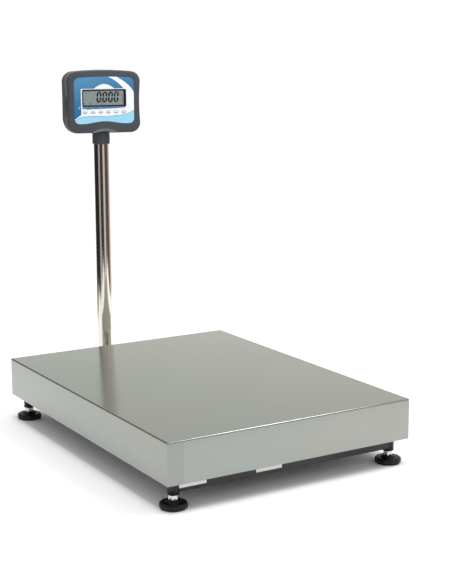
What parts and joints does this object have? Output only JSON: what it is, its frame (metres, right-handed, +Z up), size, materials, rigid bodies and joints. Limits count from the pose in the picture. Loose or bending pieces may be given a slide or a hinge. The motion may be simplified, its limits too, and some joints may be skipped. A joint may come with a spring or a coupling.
{
  "type": "bench scale",
  "caption": "Bench scale: a stainless lift-off platter on a load cell and levelling feet, with a tilting and swivelling display on a column behind it.",
  "frame": {"origin": "middle of the footprint (platter front edge to the back of the column's flange), on the floor", "axes": "+X to the right of a person at the front edge, +Y from the front edge towards the column, +Z up"},
  "size_m": [0.6, 0.933, 0.84],
  "materials": {
    "platter_steel": "fine satin brushing along the platter's length",
    "column_steel": "polished stainless tube",
    "frame_paint": "black powder coat, satin",
    "zinc_plate": "bright zinc plate",
    "cell_aluminium": "machined",
    "black_rubber": "matt",
    "housing_plastic": "fine moulded texture, dark blue grey",
    "cover_plastic": "fine moulded texture, dark olive grey",
    "panel_film": "printed polyester film, blue and white",
    "window_clear": "clear",
    "lcd_glass": "reflective liquid crystal display, grey green",
    "key_film": "embossed printed film, white",
    "circuit_board": "solder resist",
    "battery_wrap": "shrink wrap",
    "cable_jacket": "smooth jacket",
    "vial_acrylic": "clear green"
  },
  "bodies": {
    "base": {"base_front_bar": "frame_paint", "base_rear_bar": "frame_paint", "base_spine": "frame_paint", "foot_boss_front_left": "frame_paint", "foot_boss_front_right": "frame_paint", "foot_boss_rear_left": "frame_paint", "foot_boss_rear_right": "frame_paint", "foot_locknut_front_left": "zinc_plate", "foot_locknut_front_right": "zinc_plate", "foot_locknut_rear_left": "zinc_plate", "foot_locknut_rear_right": "zinc_plate", "load_cell": "cell_aluminium", "load_cell_lower_spacer": "zinc_plate", "load_cell_upper_spacer": "zinc_plate", "load_cell_base_bolt_1": "zinc_plate", "load_cell_base_bolt_2": "zinc_plate", "load_cell_top_bolt_1": "zinc_plate", "load_cell_top_bolt_2": "zinc_plate", "load_front_bar": "frame_paint", "load_rear_bar": "frame_paint", "load_spine": "frame_paint", "platter_buffer_front_left": "black_rubber", "platter_buffer_front_right": "black_rubber", "platter_buffer_rear_left": "black_rubber", "platter_buffer_rear_right": "black_rubber", "overload_stop_front_left": "zinc_plate", "overload_stop_front_right": "zinc_plate", "overload_stop_rear_left": "zinc_plate", "overload_stop_rear_right": "zinc_plate", "column_bracket": "frame_paint", "column_socket": "frame_paint", "column_clamp_screw_1": "zinc_plate", "column_clamp_screw_2": "zinc_plate", "column_tube": "column_steel", "level_vial": "vial_acrylic", "signal_cable": "cable_jacket"},
    "platter": {"platter": "platter_steel"},
    "foot_front_left": {"foot_pad_front_left": "black_rubber", "foot_stud_front_left": "zinc_plate"},
    "foot_front_right": {"foot_pad_front_right": "black_rubber", "foot_stud_front_right": "zinc_plate"},
    "foot_rear_left": {"foot_pad_rear_left": "black_rubber", "foot_stud_rear_left": "zinc_plate"},
    "foot_rear_right": {"foot_pad_rear_right": "black_rubber", "foot_stud_rear_right": "zinc_plate"},
    "column_head": {"column_head": "housing_plastic"},
    "indicator": {"front_housing": "housing_plastic", "rear_cover": "cover_plastic", "tilt_pin": "zinc_plate", "display_panel": "panel_film", "display_window": "window_clear", "lcd_module": "lcd_glass", "main_board": "circuit_board", "battery_pack": "battery_wrap"},
    "key_1": {"key_1": "key_film"},
    "key_2": {"key_2": "key_film"},
    "key_3": {"key_3": "key_film"},
    "key_4": {"key_4": "key_film"},
    "key_5": {"key_5": "key_film"},
    "key_6": {"key_6": "key_film"}
  },
  "joints": [
    {"name": "platter_lift", "type": "slide", "parent": "base", "child": "platter", "axis": [0, 0, 1], "range_m": [0, 0.12]},
    {"name": "foot_front_left_adjust", "type": "slide", "parent": "base", "child": "foot_front_left", "axis": [0, 0, -1], "range_m": [0, 0.012]},
    {"name": "foot_front_right_adjust", "type": "slide", "parent": "base", "child": "foot_front_right", "axis": [0, 0, -1], "range_m": [0, 0.012]},
    {"name": "foot_rear_left_adjust", "type": "slide", "parent": "base", "child": "foot_rear_left", "axis": [0, 0, -1], "range_m": [0, 0.012]},
    {"name": "foot_rear_right_adjust", "type": "slide", "parent": "base", "child": "foot_rear_right", "axis": [0, 0, -1], "range_m": [0, 0.012]},
    {"name": "indicator_swivel", "type": "hinge", "parent": "base", "child": "column_head", "pos_m": [0, 0.4215, 0.6535], "axis": [0, 0, 1], "range_deg": [-152.3, 177.7]},
    {"name": "indicator_tilt", "type": "hinge", "parent": "column_head", "child": "indicator", "pos_m": [0, 0.4215, 0.7215], "axis": [-0.9755, 0.2198, 0], "range_deg": [-15, 25]},
    {"name": "key_1_press", "type": "slide", "parent": "indicator", "child": "key_1", "axis": [0.2198, 0.9755, 0], "range_m": [0, 0.00045], "stiffness_N_per_m": 1500, "springref_m": -0.0006},
    {"name": "key_2_press", "type": "slide", "parent": "indicator", "child": "key_2", "axis": [0.2198, 0.9755, 0], "range_m": [0, 0.00045], "stiffness_N_per_m": 1500, "springref_m": -0.0006},
    {"name": "key_3_press", "type": "slide", "parent": "indicator", "child": "key_3", "axis": [0.2198, 0.9755, 0], "range_m": [0, 0.00045], "stiffness_N_per_m": 1500, "springref_m": -0.0006},
    {"name": "key_4_press", "type": "slide", "parent": "indicator", "child": "key_4", "axis": [0.2198, 0.9755, 0], "range_m": [0, 0.00045], "stiffness_N_per_m": 1500, "springref_m": -0.0006},
    {"name": "key_5_press", "type": "slide", "parent": "indicator", "child": "key_5", "axis": [0.2198, 0.9755, 0], "range_m": [0, 0.00045], "stiffness_N_per_m": 1500, "springref_m": -0.0006},
    {"name": "key_6_press", "type": "slide", "parent": "indicator", "child": "key_6", "axis": [0.2198, 0.9755, 0], "range_m": [0, 0.00045], "stiffness_N_per_m": 1500, "springref_m": -0.0006}
  ]
}
